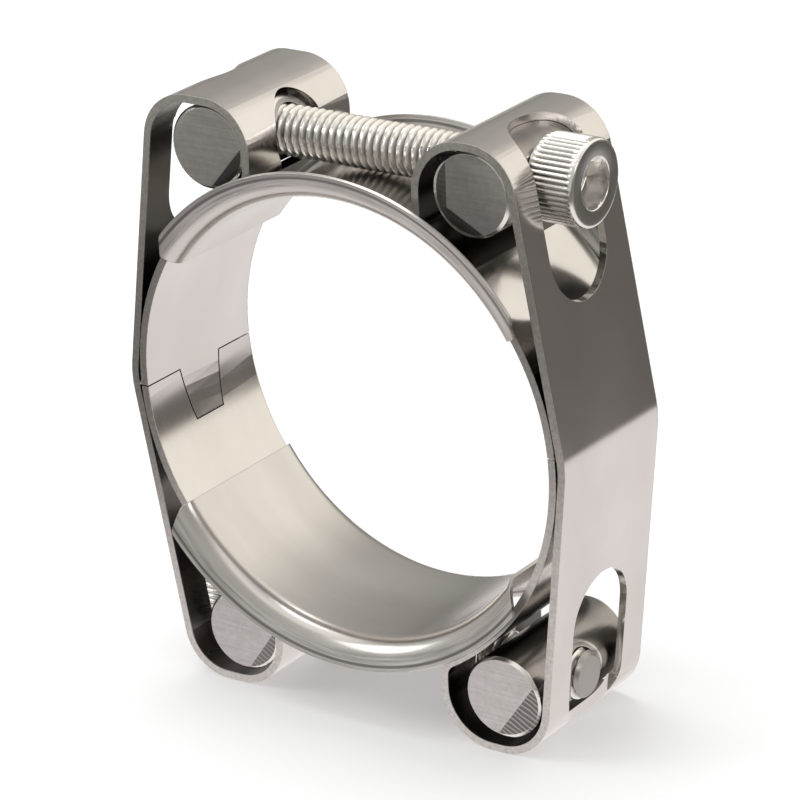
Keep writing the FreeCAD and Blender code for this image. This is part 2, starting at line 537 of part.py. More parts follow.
def make_pin(corner, tapped, facets):
    """Trunnion pin along the hose axis, with a cross hole for the bolt."""
    side, end = corner.split("_")
    across = 1 if side == "right" else -1
    height = 1 if end == "top" else -1
    body = doc.addObject("PartDesign::Body", f"{corner}_rod")
    profile = new_sketch(body, f"{corner}_profile", "YZ_Plane")
    half, edge, radius = "Derived.pin_length / 2", "Sizes.pin_edge", "Derived.pin_radius"
    polygon(
        profile,
        (
            (f"-({half})", "0"),
            (half, "0"),
            (half, f"{radius} - {edge}"),
            (f"{half} - {edge}", radius),
            (f"-({half}) + {edge}", radius),
            (f"-({half})", f"{radius} - {edge}"),
        ),
    )
    round_bar = body.newObject("PartDesign::Revolution", f"{corner}_bar")
    round_bar.Profile = profile
    round_bar.ReferenceAxis = (profile, ["H_Axis"])
    round_bar.Angle = 360
    doc.recompute()
    hole = new_sketch(body, f"{corner}_hole", "YZ_Plane")
    circle(hole, "Sizes.thread_bore / 2" if tapped else "Sizes.plain_bore / 2")
    pocket(body, hole, "2 * Sizes.pin_diameter", symmetric=True)
    if not tapped:
        depth = "Derived.pin_radius - Sizes.seat_depth"
        seat = new_sketch(body, f"{corner}_seat", "YZ_Plane", f"{across} * ({depth})")
        circle(seat, "Sizes.seat_width / 2")
        pocket(body, seat, turned=(across == 1))
    for count, turn in enumerate(facets):
        # Sheared facet: a wedge off the front end, beyond a chord of the face.
        wedge = new_sketch(body, f"{corner}_shear_{count}", "XY_Plane")
        wedge.AttachmentOffset = Placement(Vector(0, 0, 0), Rotation(Vector(0, 1, 0), -turn))
        chord, reach = f"Sizes.{corner}_shear", "Sizes.pin_diameter"
        polygon(
            wedge,
            (
                (chord, f"-({half})"),
                (reach, f"({reach} - {chord}) * tan(Sizes.shear_tilt * 1 deg) - {half}"),
                (reach, f"-({half}) - {edge}"),
                (chord, f"-({half}) - {edge}"),
            ),
        )
        pocket(body, wedge, "2 * Sizes.pin_diameter", symmetric=True)
    body.Label = f"{corner}_pin"
    body.setExpression("Placement.Base.x", f"{across} * Derived.{corner}_pin_x")
    body.setExpression("Placement.Base.z", f"{height} * Derived.bolt_height")
    return body


def make_bolt(name, corner):
    """Socket head cap screw lying along X, its head outside the head pin."""
    body = doc.addObject("PartDesign::Body", name)
    profile = new_sketch(body, f"{name}_profile", "XZ_Plane")
    head, shank = "Sizes.head_diameter / 2", "Sizes.shank_diameter / 2"
    edge, tip = "Sizes.head_edge", "Sizes.shank_tip"
    polygon(
        profile,
        (
            ("Sizes.head_height", "0"),
            ("Sizes.head_height", f"{head} - {edge}"),
            (f"Sizes.head_height - {edge}", head),
            (f"{edge} / 3", head),
            ("0", f"{head} - {edge} / 3"),
            ("0", shank),
            (f"{tip} - Sizes.shank_length", shank),
            ("-Sizes.shank_length", f"{shank} - {tip}"),
            ("-Sizes.shank_length", "0"),
        ),
    )
    turned = body.newObject("PartDesign::Revolution", f"{name}_turned")
    turned.Profile = profile
    turned.ReferenceAxis = (profile, ["H_Axis"])
    turned.Angle = 360
    doc.recompute()
    socket = new_sketch(body, f"{name}_socket", "YZ_Plane", "Sizes.head_height")
    across = "Sizes.socket_width / 2"
    polygon(
        socket,
        [(f"{across} / cos(30 deg) * cos({a} deg)", f"{across} / cos(30 deg) * sin({a} deg)")
         for a in (10, 70, 130, 190, 250, 310)],
    )
    pocket(body, socket, "Sizes.socket_depth")
    # Right-hand thread: one groove wound from the neck to beyond the tip.
    groove = new_sketch(body, f"{name}_groove", "XZ_Plane")
    depth, slope = "Sizes.thread_depth", "tan(Sizes.thread_flank * 1 deg)"
    root = f"(Sizes.thread_pitch - Sizes.thread_crest - 2 * {depth} * {slope}) / 2"
    over = f"{depth} / 6"
    mouth = f"({root} + 7 * {over} * {slope})"
    start = f"-(Sizes.shank_neck + Sizes.thread_pitch / 2)"
    polygon(
        groove,
        (
            (f"{start} + {mouth}", f"{shank} + {over}"),
            (f"{start} + {root}", f"{shank} - {depth}"),
            (f"{start} - {root}", f"{shank} - {depth}"),
            (f"{start} - {mouth}", f"{shank} + {over}"),
        ),
    )
    thread = body.newObject("PartDesign::SubtractiveHelix", f"{name}_thread")
    thread.Profile = groove
    thread.ReferenceAxis = (groove, ["H_Axis"])
    thread.Mode = "pitch-height-angle"
    thread.Reversed = True
    thread.setExpression("Pitch", "Sizes.thread_pitch")
    thread.setExpression("Height", "Sizes.shank_length - Sizes.shank_neck + Sizes.thread_pitch")
    body.Tip = thread
    doc.recompute()
    body.Label = name
    side, end = corner.split("_")
    sign = 1 if side == "right" else -1
    height = 1 if end == "top" else -1
    turn = Rotation() if sign == 1 else Rotation(Vector(0, 1, 0), 180)
    body.Placement = Placement(Vector(0, 0, 0), turn)
    seat = f"(Derived.{corner}_pin_x + Derived.pin_radius - Sizes.seat_depth + Sizes.head_gap)"
    body.setExpression("Placement.Base.x", f"{sign} * {seat}")
    body.setExpression("Placement.Base.z", f"{height} * Derived.bolt_height")
    return body


parts = [
    make_strap("right"),
    make_strap("left"),
    make_bridge("top_bridge", "Sizes.top_bridge_turn"),
    make_bridge("bottom_bridge", "180"),
    make_pin("right_top", False, (180, -118)),
    make_pin("left_top", True, (-40,)),
    make_pin("right_bottom", True, (-35,)),
    make_pin("left_bottom", False, (-35,)),
    make_bolt("top_bolt", "right_top"),
    make_bolt("bottom_bolt", "left_bottom"),
]
doc.recompute()

for item in doc.Objects:
    if "Invalid" in item.State or "Error" in item.State:
        raise RuntimeError(f"{item.Name} did not compute: {item.State}")
for item in doc.Objects:
    if item.TypeId == "Sketcher::SketchObject" and item.solve() != 0:
        raise RuntimeError(f"{item.Name} does not solve")

os.makedirs("parts", exist_ok=True)
for part in parts:
    shape = part.Shape
    if shape.isNull() or not shape.isValid() or len(shape.Solids) != 1:
        raise RuntimeError(f"{part.Label} is not one valid solid")
    shape.exportStep(f"parts/{part.Label}.step")
    box = shape.BoundBox
    print(
        f"{part.Label:18s} volume {shape.Volume:8.1f}  x {box.XMin:6.2f} {box.XMax:6.2f}"
        f"  y {box.YMin:6.2f} {box.YMax:6.2f}  z {box.ZMin:6.2f} {box.ZMax:6.2f}"
    )
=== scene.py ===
# %% [markdown]
# # A T-bolt hose clamp
# Two sprung stainless straps hold four trunnion pins, and a cap screw above and below draws the
# halves together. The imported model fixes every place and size. This file gives each piece its
# rolled, sheared, knurled or threaded surface, and a small studio to see it in.

# %% Load the frame
import math

import bmesh
import bpy
from mathutils import Matrix, Vector


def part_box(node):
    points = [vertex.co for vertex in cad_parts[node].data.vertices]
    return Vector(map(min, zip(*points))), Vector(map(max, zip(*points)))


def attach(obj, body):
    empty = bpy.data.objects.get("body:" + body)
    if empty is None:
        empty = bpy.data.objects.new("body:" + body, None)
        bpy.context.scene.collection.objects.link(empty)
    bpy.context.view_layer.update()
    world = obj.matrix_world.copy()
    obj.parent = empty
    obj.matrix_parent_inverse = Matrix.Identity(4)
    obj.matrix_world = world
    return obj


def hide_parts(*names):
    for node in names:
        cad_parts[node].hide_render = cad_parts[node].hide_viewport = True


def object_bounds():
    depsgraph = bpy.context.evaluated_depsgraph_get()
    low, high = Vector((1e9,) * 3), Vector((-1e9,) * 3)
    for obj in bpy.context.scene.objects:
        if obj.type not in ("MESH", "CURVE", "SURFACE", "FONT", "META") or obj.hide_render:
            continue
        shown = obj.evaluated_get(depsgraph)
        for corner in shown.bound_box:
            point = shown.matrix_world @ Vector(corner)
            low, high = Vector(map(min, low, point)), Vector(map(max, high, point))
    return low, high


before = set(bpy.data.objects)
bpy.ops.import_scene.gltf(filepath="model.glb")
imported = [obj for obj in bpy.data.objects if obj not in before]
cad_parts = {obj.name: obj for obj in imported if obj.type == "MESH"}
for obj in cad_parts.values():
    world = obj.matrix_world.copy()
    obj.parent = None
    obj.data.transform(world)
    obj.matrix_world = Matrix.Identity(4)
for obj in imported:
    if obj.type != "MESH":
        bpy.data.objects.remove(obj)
cad_low, cad_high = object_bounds()
MM = 0.001
scene = bpy.context.scene
scene.view_settings.view_transform = "Standard"
print("clamp size in mm:", [round(v / MM, 1) for v in cad_high - cad_low])

# %% [markdown]
# ## The camera
# The photograph was taken with a long lens from the front right, a little above the clamp. A
# camera could be turned by hand until the picture fits. The pins and the bore are circles of known
# size, though, so their ellipses gave the angle and the distance as numbers.

# %% Place the camera
turn, rise, tilt = math.radians(34.426), math.radians(21.798), math.radians(-2.041)
camera_distance = 449.96 * MM
aim = Vector((1.26, 0.0, -0.68)) * MM
back = Vector(
    (math.sin(turn) * math.cos(rise), -math.cos(turn) * math.cos(rise), math.sin(rise))
)
level_right = Vector((math.cos(turn), math.sin(turn), 0.0))
level_up = back.cross(level_right)
right = level_right * math.cos(tilt) + level_up * math.sin(tilt)
up = level_up * math.cos(tilt) - level_right * math.sin(tilt)
camera_data = bpy.data.cameras.new("camera")
camera_data.sensor_width = 36.0
camera_data.lens = 178.46
camera_data.clip_start = 0.01
camera = bpy.data.objects.new("camera", camera_data)
scene.collection.objects.link(camera)
camera.matrix_world = (
    Matrix.Translation(aim + back * camera_distance)
    @ Matrix((right, up, back)).transposed().to_4x4()
)
scene.camera = camera
print("camera at", [round(v, 3) for v in camera.location])

# %% [markdown]
# ## Node maths as plain sums
# A finish is mostly arithmetic on a few patterns. A small class wraps one socket, so that
# `0.2 + 0.1 * streak` adds the Math nodes by itself, in a material and in a geometry tree alike.


# %% A socket that does sums
class Value:
    """One number that varies over a surface."""

    def __init__(self, tree, socket):
        self.tree = tree
        self.socket = socket

    def math(self, operation, *others):
        node = self.tree.nodes.new("ShaderNodeMath")
        node.operation = operation
        for place, item in enumerate((self, *others)):
            if isinstance(item, Value):
                self.tree.links.new(item.socket, node.inputs[place])
            else:
                node.inputs[place].default_value = item
        return Value(self.tree, node.outputs[0])

    def __add__(self, other):
        return self.math("ADD", other)

    __radd__ = __add__

    def __sub__(self, other):
        return self.math("SUBTRACT", other)

    def __rsub__(self, other):
        return self.math("MULTIPLY", -1.0).math("ADD", other)

    def __mul__(self, other):
        return self.math("MULTIPLY", other)

    __rmul__ = __mul__

    def __truediv__(self, other):
        return self.math("DIVIDE", other)

    def above(self, limit):
        return self.math("GREATER_THAN", limit)

    def below(self, limit):
        return self.math("LESS_THAN", limit)

    def ramp(self, low, high):
        """0 below low and 1 above high, straight between them."""
        return ((self - low) / (high - low)).math("MAXIMUM", 0.0).math("MINIMUM", 1.0)


# %% [markdown]
# ## A finish
# Each metal gets its own material. The helper adds any node with its settings first and its
# sockets after, so that a finish reads as a list of what the surface shows.


# %% A helper that builds a material
class Finish:
    """A material with one principled shader, built node by node."""

    def __init__(self, name):
        self.material = bpy.data.materials.new(name)
        self.material.use_nodes = True
        self.tree = self.material.node_tree
        self.tree.nodes.clear()
        self.output = self.tree.nodes.new("ShaderNodeOutputMaterial")
        self.shader = self.tree.nodes.new("ShaderNodeBsdfPrincipled")
        self.tree.links.new(self.shader.outputs[0], self.output.inputs["Surface"])
        self.place = self.node("ShaderNodeTexCoord").outputs["Object"]
        split = self.node("ShaderNodeSeparateXYZ", Vector=self.place)
        self.x, self.y, self.z = (Value(self.tree, split.outputs[i]) for i in range(3))

    def set(self, socket, item):
        if isinstance(item, Value):
            self.tree.links.new(item.socket, socket)
        elif isinstance(item, bpy.types.NodeSocket):
            self.tree.links.new(item, socket)
        else:
            socket.default_value = item

    def node(self, kind, settings=None, **sockets):
        made = self.tree.nodes.new(kind)
        for name, item in (settings or {}).items():
            setattr(made, name, item)
        for name, item in sockets.items():
            self.set(made.inputs[name.replace("_", " ")], item)
        return made

    def noise(self, scale, detail=2.0, turned=(0.0, 0.0, 0.0), rough=0.5, place=None):
        """Noise over the piece, stretched by a scale along each axis."""
        mapping = self.node("ShaderNodeMapping", Vector=place or self.place)
        mapping.inputs["Rotation"].default_value = turned
        mapping.inputs["Scale"].default_value = scale
        pattern = self.node(
            "ShaderNodeTexNoise",
            Vector=mapping.outputs[0],
            Scale=1.0,
            Detail=detail,
            Roughness=rough,
        )
        return Value(self.tree, pattern.outputs[0])

    def mix(self, factor, first, second):
        node = self.node("ShaderNodeMix", {"data_type": "RGBA"})
        self.set(node.inputs["Factor"], factor)
        self.set(node.inputs[6], first)
        self.set(node.inputs[7], second)
        return node.outputs[2]

    def bump(self, height, distance, strength=1.0):
        node = self.node("ShaderNodeBump", Strength=strength, Distance=distance, Height=height)
        self.set(self.shader.inputs["Normal"], node.outputs[0])

    def steel(self, colour, roughness):
        self.set(self.shader.inputs["Base Color"], colour)
        self.set(self.shader.inputs["Roughness"], roughness)
        self.shader.inputs["Metallic"].default_value = 1.0


# %% [markdown]
# ## Rolled strip
# The straps are cold rolled stainless strip. Rolling leaves very fine lines along its length, so
# the pattern changes quickly across the width and slowly along the strip. The two long edges are
# sheared, which leaves them rougher and mottled. Inside the loops and legs the strip is painted
# dark, as painted shade. Bending the loops stretched the outer skin, so they
# are a little duller than the flat legs. An image could be wrapped round the strip, but noise
# stretched along one axis needs no unwrapping and stays sharp in a close view.

# %% Finish of the straps
strip = Finish("strip_steel")
roll_lines = strip.noise((40, 2600, 40), detail=3)
roll_cloud = strip.noise((60, 90, 60), detail=3)
fine_pits = strip.noise((1500, 1500, 1500), detail=2)
sheared = strip.y.math("ABSOLUTE").ramp(9.82 * MM, 9.92 * MM)
shear_grain = strip.noise((1900, 500, 1900), detail=4, rough=0.7)
strip_face = strip.mix(roll_cloud.ramp(0.35, 0.7), (0.64, 0.615, 0.59, 1), (0.71, 0.685, 0.665, 1))
strip_edge = strip.mix(shear_grain.ramp(0.38, 0.62), (0.48, 0.46, 0.44, 1), (0.62, 0.60, 0.57, 1))
# Inside the loops and on the inner side of the legs the strip is painted dark: painted shade.
recess_shade_mask = strip.node("ShaderNodeAttribute", {"attribute_name": "recess_shade"})
recess_shade = Value(strip.tree, recess_shade_mask.outputs["Fac"]) * (1 - sheared)
strip_skin = strip.mix(sheared, strip_face, strip_edge)
stretched = strip.z.math("ABSOLUTE").ramp(33 * MM, 37 * MM)
strip.steel(
    strip.mix(recess_shade, strip_skin, (0.10, 0.092, 0.084, 1)),
    0.10 + 0.05 * roll_cloud + 0.05 * roll_lines + 0.2 * sheared + 0.1 * recess_shade + 0.15 * stretched,
)
strip.bump(
    0.35 * roll_lines + 0.15 * fine_pits + 1.4 * sheared * shear_grain,
    0.006 * MM,
    0.5,
)
print("strip finish:", len(strip.tree.nodes), "nodes")

# %% [markdown]
# ## Bridge sheet
# The bridges are thin bright sheet, bent up along both edges. It is smoother than the strip. Only
# the upturned flanges carry streaks, which the press dragged round the ring. The flange colour has
# one dark line just under the lip. Streaks that follow a ring can't come from noise along X, Y or Z,
# so the flange has noise in polar numbers: the radius, the way round and the depth.

# %% Finish of the bridges
sheet = Finish("bridge_steel")
sheet_lines = sheet.noise((30, 1900, 30), detail=3)
sheet_cloud = sheet.noise((45, 120, 45), detail=3)
sheet_pits = sheet.noise((1700, 1700, 1700), detail=2)
out_from_axis = (sheet.x * sheet.x + sheet.z * sheet.z).math("SQRT")
round_ring = sheet.z.math("ARCTAN2", sheet.x) * 0.026
polar = sheet.node("ShaderNodeCombineXYZ", X=out_from_axis, Y=round_ring, Z=sheet.y)
streaks = sheet.noise((2400, 90, 700), detail=4, rough=0.7, place=polar.outputs[0])
flange = out_from_axis.ramp(27.2 * MM, 27.9 * MM)
sheet_face = sheet.mix(
    sheet_cloud.ramp(0.35, 0.7), (0.58, 0.557, 0.535, 1), (0.65, 0.63, 0.605, 1)
)
sheet_flange = sheet.mix(streaks.ramp(0.36, 0.62), (0.42, 0.40, 0.385, 1), (0.72, 0.70, 0.68, 1))
# A dark line in the flange colour, just under the lip.
flange_dark_line = out_from_axis.ramp(28.62 * MM, 28.72 * MM)
flange_dark_line = flange_dark_line * (1 - out_from_axis.ramp(28.95 * MM, 29.05 * MM))
sheet_flange = sheet.mix(0.75 * flange_dark_line, sheet_flange, (0.14, 0.13, 0.12, 1))
sheet.steel(
    sheet.mix(flange, sheet_face, sheet_flange),
    0.17 + 0.08 * sheet_cloud + 0.05 * sheet_lines + 0.12 * flange,
)
sheet.bump(0.4 * sheet_lines + 0.2 * sheet_pits + 0.9 * flange * streaks, 0.005 * MM, 0.5)

# %% [markdown]
# ## Drawn bar
# The pins are cropped from drawn bar. Each end face shows fine saw lines inside a bright edge ring,
# which is a painted highlight. One side of the face broke away when the blade went through: a torn
# facet, on some pins with coarse torn lines, painted dark partly for its dull torn steel and partly
# as painted shade. The barrel is painted dark too, as painted shade and painted dark reflection.
# Each facet could be a material of its own on chosen faces. It lies beyond a chord, though, so a
# distance from the pin's axis picks it out on any mesh.

# %% Finish of the pins
pins = {
    "right_top_pin": ((180.0, 3.0), (-118.0, 3.0)),
    "left_top_pin": ((-40.0, 3.15),),
    "right_bottom_pin": ((-35.0, 2.05),),
    "left_bottom_pin": ((-35.0, 3.15),),
}


def pin_finish(name, facets, tone, torn_dark_and_shade, ribbed):
    """Steel of one pin, with its own end face and sheared facets."""
    low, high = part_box(name)
    middle = (low + high) / 2
    bar = Finish(f"{name}_steel")
    across, height = bar.x - middle.x, bar.z - middle.z
    drawn = bar.noise((700, 25, 700), detail=3)
    cloud = bar.noise((160, 160, 160), detail=3)
    saw = bar.noise((90, 90, 3800), detail=3, turned=(0.0, 0.12, 0.0))
    face = bar.y.math("ABSOLUTE").ramp(9.55 * MM, 9.66 * MM)
    front = bar.y.below(-7.5 * MM)
    tear = bar.noise((330, 330, 330), detail=2)
    broken, marks = face * 0.0, face * 0.0
    for angle, chord in facets:
        c, s = math.cos(math.radians(angle)), math.sin(math.radians(angle))
        beyond = (c * across + s * height - (chord + 0.05) * MM).ramp(0.0, 0.04 * MM) * front
        along = (c * height - s * across) / (0.58 * MM)
        ribs = (along + 1.6 * tear).math("FRACT").ramp(0.55, 0.95)
        broken = broken.math("MAXIMUM", beyond)
        marks = marks + beyond * ribs
    end = face.math("MAXIMUM", broken)
    radius = (across * across + height * height).math("SQRT")
    # The outer edge ring of each end face is painted bright: a painted highlight.
    rim_highlight = radius.ramp(4.50 * MM, 4.58 * MM) * bar.y.math("ABSOLUTE").ramp(9.2 * MM, 9.3 * MM)
    grain = bar.noise((1400, 1400, 1400), detail=4, rough=0.7)
    # The barrel is painted dark: painted shade and painted dark reflection.
    plain = bar.mix(cloud.ramp(0.35, 0.7), (0.27, 0.255, 0.24, 1), (0.40, 0.38, 0.36, 1))
    collar = (bar.y * bar.y + height * height).math("SQRT")
    ring = collar.ramp(3.45 * MM, 3.55 * MM) * (1 - collar.ramp(3.75 * MM, 3.85 * MM))
    plain = bar.mix(ring, plain, (0.78, 0.76, 0.73, 1))
    light, dull = (tone, tone * 0.97, tone * 0.95, 1), (tone * 0.8, tone * 0.77, tone * 0.75, 1)
    sawn = bar.mix((0.5 * grain + 0.5 * saw).ramp(0.38, 0.62), dull, light)
    # The torn facet is painted dark, partly its dull torn steel and partly painted shade.
    torn = bar.mix(marks * ribbed, torn_dark_and_shade, (0.52, 0.50, 0.48, 1))
    colour = bar.mix(broken, bar.mix(face, plain, sawn), torn)
    colour = bar.mix(rim_highlight, colour, (0.86, 0.84, 0.81, 1))
    bar.steel(colour, 0.2 + 0.08 * drawn + (0.14 * end + 0.1 * broken) * (1 - rim_highlight))
    bar.bump(
        0.4 * drawn * (1 - end) + 0.9 * saw * face + 0.5 * grain * end + 5.0 * ribbed * marks,
        0.006 * MM,
        0.6,
    )
    return bar.material


# Each pin: end face tone, the torn facet's dark colour with its painted shade, and how ribbed it is.
tones = {
    "right_top_pin": (0.44, (0.13, 0.12, 0.115, 1), 0.08),
    "left_top_pin": (0.57, (0.12, 0.115, 0.11, 1), 0.08),
    "right_bottom_pin": (0.58, (0.17, 0.163, 0.155, 1), 0.9),
    "left_bottom_pin": (0.55, (0.20, 0.19, 0.18, 1), 0.6),
}
pin_steel = {name: pin_finish(name, facets, *tones[name]) for name, facets in pins.items()}
print("pin finishes:", list(pin_steel))

# %% [markdown]
# ## Screw steel
# The cap screws are bright. Cold heading and rolling leave a smooth skin with slight clouding.
# The thread roots and the knurl's grooves are painted a little darker, as painted shade. Ambient
# occlusion could find the grooves. The trees that cut them know their depth, so they write it down
# for the material, which costs no extra rays. The flat face of the head and the tip of the thread
# are painted darker too, as painted shade.

# %% Finish of the screws
screw = Finish("screw_steel")
screw_cloud = screw.noise((220, 500, 500), detail=3)
screw_pits = screw.noise((2600, 2600, 2600), detail=2)
# Groove depth from the trees, for the painted shade in the thread roots and the knurl's grooves.
groove_shade_mask = screw.node("ShaderNodeAttribute", {"attribute_name": "groove"})
groove = Value(screw.tree, groove_shade_mask.outputs["Fac"])
# The flat face of the head and the tip of the thread, painted darker as painted shade.
end_face_shade_mask = screw.node("ShaderNodeAttribute", {"attribute_name": "end_face_shade"})
end_face_shade = Value(screw.tree, end_face_shade_mask.outputs["Fac"])
screw_skin = screw.mix(screw_cloud.ramp(0.3, 0.7), (0.78, 0.765, 0.74, 1), (0.88, 0.865, 0.84, 1))
screw_side = screw.mix(groove.ramp(0.35, 1.0), screw_skin, (0.30, 0.283, 0.265, 1))
screw.steel(
    screw.mix(end_face_shade, screw_side, (0.37, 0.357, 0.34, 1)),
    0.19 + 0.1 * screw_cloud + 0.1 * groove + 0.08 * end_face_shade,
)
screw.bump(0.4 * screw_cloud + 0.4 * screw_pits, 0.006 * MM, 0.5)

# %% [markdown]
# ## Edges that catch the light
# No edge on real metal is a knife edge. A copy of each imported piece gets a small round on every
# sharp edge, by a Bevel that works on edges sharper than an angle. The copy is merged first,
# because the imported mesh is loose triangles, and its flat faces are joined, because a bevel
# behaves best on large faces. A Bevel node in the material would only bend the light, while this
# one also rounds the outline.


# %% Round the edges of a copy of a piece
MERGE = 0.002 * MM
FLAT = math.radians(0.4)
SHARP = math.radians(32)


def softened(mesh, width, material, name):
    """The mesh as a piece with small rounds along its sharp edges."""
    mesh.materials.clear()
    work = bmesh.new()
    work.from_mesh(mesh)
    bmesh.ops.remove_doubles(work, verts=work.verts, dist=MERGE)
    bmesh.ops.dissolve_limit(work, angle_limit=FLAT, verts=work.verts, edges=work.edges)
    for face in work.faces:
        face.smooth = True
    work.to_mesh(mesh)
    work.free()
    mesh.set_sharp_from_angle(angle=SHARP)
    rough = bpy.data.objects.new(f"{name}_rough", mesh)
    scene.collection.objects.link(rough)
    bevel = rough.modifiers.new("rounds", "BEVEL")
    bevel.width = width
    bevel.segments = 2
    bevel.limit_method = "ANGLE"
    bevel.angle_limit = SHARP
    bevel.harden_normals = True
    bevel.use_clamp_overlap = True
    piece = plain_copy(rough, name)
    piece.data.materials.clear()
    piece.data.materials.append(material)
    return piece


def plain_copy(source, name):
    """The evaluated shape of an object as a plain mesh piece at the origin."""
    bpy.context.view_layer.update()
    graph = bpy.context.evaluated_depsgraph_get()
    mesh = bpy.data.meshes.new_from_object(source.evaluated_get(graph), depsgraph=graph)
    bpy.data.objects.remove(source)
    mesh.name = name
    piece = bpy.data.objects.new(name, mesh)
    scene.collection.objects.link(piece)
    return piece


PIN_REACH = 8.8 * MM
RING_OUTSIDE = 30.2 * MM
LEG_INSIDE = 23 * MM


def mark_recess_shade(mesh, axes):
    """Mark faces inside a pin loop for painted shade, and a little less those on the leg's inner
    side.
    """
    layer = mesh.attributes.new("recess_shade", "FLOAT", "FACE")
    for face in mesh.polygons:
        middle = face.center
        for axis in axes:
            toward = Vector((axis.x - middle.x, 0.0, axis.z - middle.z))
            near = toward.length < PIN_REACH
            # Faces inside a loop get the full painted shade, those on the leg's inner side a little
            # less.
            if near and abs(face.normal.y) < 0.5 and face.normal.dot(toward.normalized()) > 0.25:
                layer.data[face.index].value = 1.0
        inward = -math.copysign(1.0, middle.x) * face.normal.x
        beyond_ring = math.hypot(middle.x, middle.z) > RING_OUTSIDE
        if inward > 0.9 and beyond_ring and abs(middle.x) > LEG_INSIDE:
            layer.data[face.index].value = 0.75


# %% [markdown]
# ## The bridge sheet
# A bridge is rolled between formed wheels, so its edges turn up over a wide, soft bend, and that
# bend draws one bright line along the ring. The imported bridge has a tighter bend. Pushing its
# points about would leave dents, so a new sheet is made: the section below, half a channel with its
# sheet thickness, is swept round the bore. Near both ends the flange is cut back along a slant.

# %% Sweep a bridge round the bore
BORE, SHEET = 26.0 * MM, 0.45 * MM
BEND_START, BEND, LEAN = 9.0 * MM, 2.6 * MM, math.radians(18)
TIP, SPAN = 29.4 * MM, math.radians(113.5)
END_CUTS = {"top_bridge": (4.5, 1.3, 1.75), "bottom_bridge": (4.0, 2.6, 180.0)}


def section_point(s, depth):
    """Point of the half section, s along it and depth into the sheet from the bore side."""
    turned = min(max((s - BEND_START) / BEND, 0.0), math.pi / 2 - LEAN)
    beyond = max(s - BEND_START - BEND * (math.pi / 2 - LEAN), 0.0)
    reach = BEND - depth
    y = min(s, BEND_START) + reach * math.sin(turned) + beyond * math.cos(turned)
    r = BORE + BEND - reach * math.cos(turned) + beyond * math.sin(turned)
    return y, r


def section_length(limit):
    """How far along the section the sheet reaches a radius."""
    low, high = BEND_START, 20 * MM
    for _ in range(40):
        middle = (low + high) / 2
        low, high = (middle, high) if section_point(middle, 0.0)[1] < limit else (low, middle)
    return low


def bridge_sheet(node):
    """Closed mesh of one bridge, swept from its section."""
    cut, drop, place = END_CUTS[node]
    bend_end = BEND_START + BEND * (math.pi / 2 - LEAN)
    steps = 160
    work = bmesh.new()
    rows = []
    for i in range(steps + 1):
        angle = SPAN * (i / steps - 0.5)
        past = max(abs(angle) - (SPAN / 2 - math.radians(cut)), 0.0) / math.radians(cut)
        length = section_length(TIP - drop * MM * past)
        knee = min(bend_end, length * 0.97)
        stops = [0.0, 0.5 * BEND_START, BEND_START]
        stops += [BEND_START + (knee - BEND_START) * k / 10 for k in range(1, 11)]
        stops += [knee + (length - knee) * k / 3 for k in range(1, 4)]
        inner = [section_point(s, 0.0) for s in stops]
        outer = [section_point(s, SHEET) for s in stops]
        inner = [(-y, r) for y, r in inner[:0:-1]] + inner
        outer = [(-y, r) for y, r in outer[:0:-1]] + outer
        around = angle + math.radians(place)
        loop = inner + outer[::-1]
        rows.append(
            [work.verts.new((r * math.sin(around), y, r * math.cos(around))) for y, r in loop]
        )
    count = len(rows[0])
    for first_row, second_row in zip(rows, rows[1:]):
        for k in range(count):
            m = (k + 1) % count
            work.faces.new((first_row[k], second_row[k], second_row[m], first_row[m]))
    for row in (rows[0], rows[-1]):
        for k in range(count // 2 - 1):
            work.faces.new((row[k], row[k + 1], row[count - 2 - k], row[count - 1 - k]))
    bmesh.ops.recalc_face_normals(work, faces=work.faces)
    mesh = bpy.data.meshes.new(node)
    work.to_mesh(mesh)
    work.free()
    return mesh


# %% [markdown]
# ## Straps, bridges and pins
# These pieces are sheet and bar, held by their shape alone. Each gets its dressed copy, which rides
# on the body of the imported piece and takes its place, so the halves of the clamp still move. Only
# the straps need the mark for painted shade. It is found from the faces, because a loop wraps its
# own pin.

# %% Dress the straps, bridges and pins
pin_axes = {
    side: [(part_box(name)[0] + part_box(name)[1]) / 2 for name in pins if name.startswith(side)]
    for side in ("right", "left")
}
skins = (
    ("right_strap", 0.13, strip.material, "right_half", "strap"),
    ("left_strap", 0.13, strip.material, "left_half", "strap"),
    ("top_bridge", 0.09, sheet.material, "right_half", "bridge"),
    ("bottom_bridge", 0.09, sheet.material, "left_half", "bridge"),
    ("right_top_pin", 0.10, pin_steel["right_top_pin"], "right_half", "pin"),
    ("right_bottom_pin", 0.10, pin_steel["right_bottom_pin"], "right_half", "pin"),
    ("left_top_pin", 0.10, pin_steel["left_top_pin"], "left_half", "pin"),
    ("left_bottom_pin", 0.10, pin_steel["left_bottom_pin"], "left_half", "pin"),
)
for node, width, material, body, slot in skins:
    mesh = bridge_sheet(node) if slot == "bridge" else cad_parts[node].data.copy()
    piece = softened(mesh, width * MM, material, f"{node}_skin")
    if slot == "strap":
        mark_recess_shade(piece.data, pin_axes[node.split("_")[0]])
    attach(piece, body)
    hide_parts(node)
    print(node, "has", len(piece.data.polygons), "faces")

# %% [markdown]
# ## The screw thread
# The thread is rolled, so its crests are round and its flanks smooth. It could be a small profile
# spun by a Screw modifier, but such a thread starts and stops abruptly. A thread is also a rule: the
# radius depends only on how far a point is along the screw and how far round it is. A geometry tree
# bends a flat grid into that surface. Its first and last rows close onto the axis, so the thread is
# one solid skin.

# %% A tree that rolls a thread
PITCH = 1.0 * MM


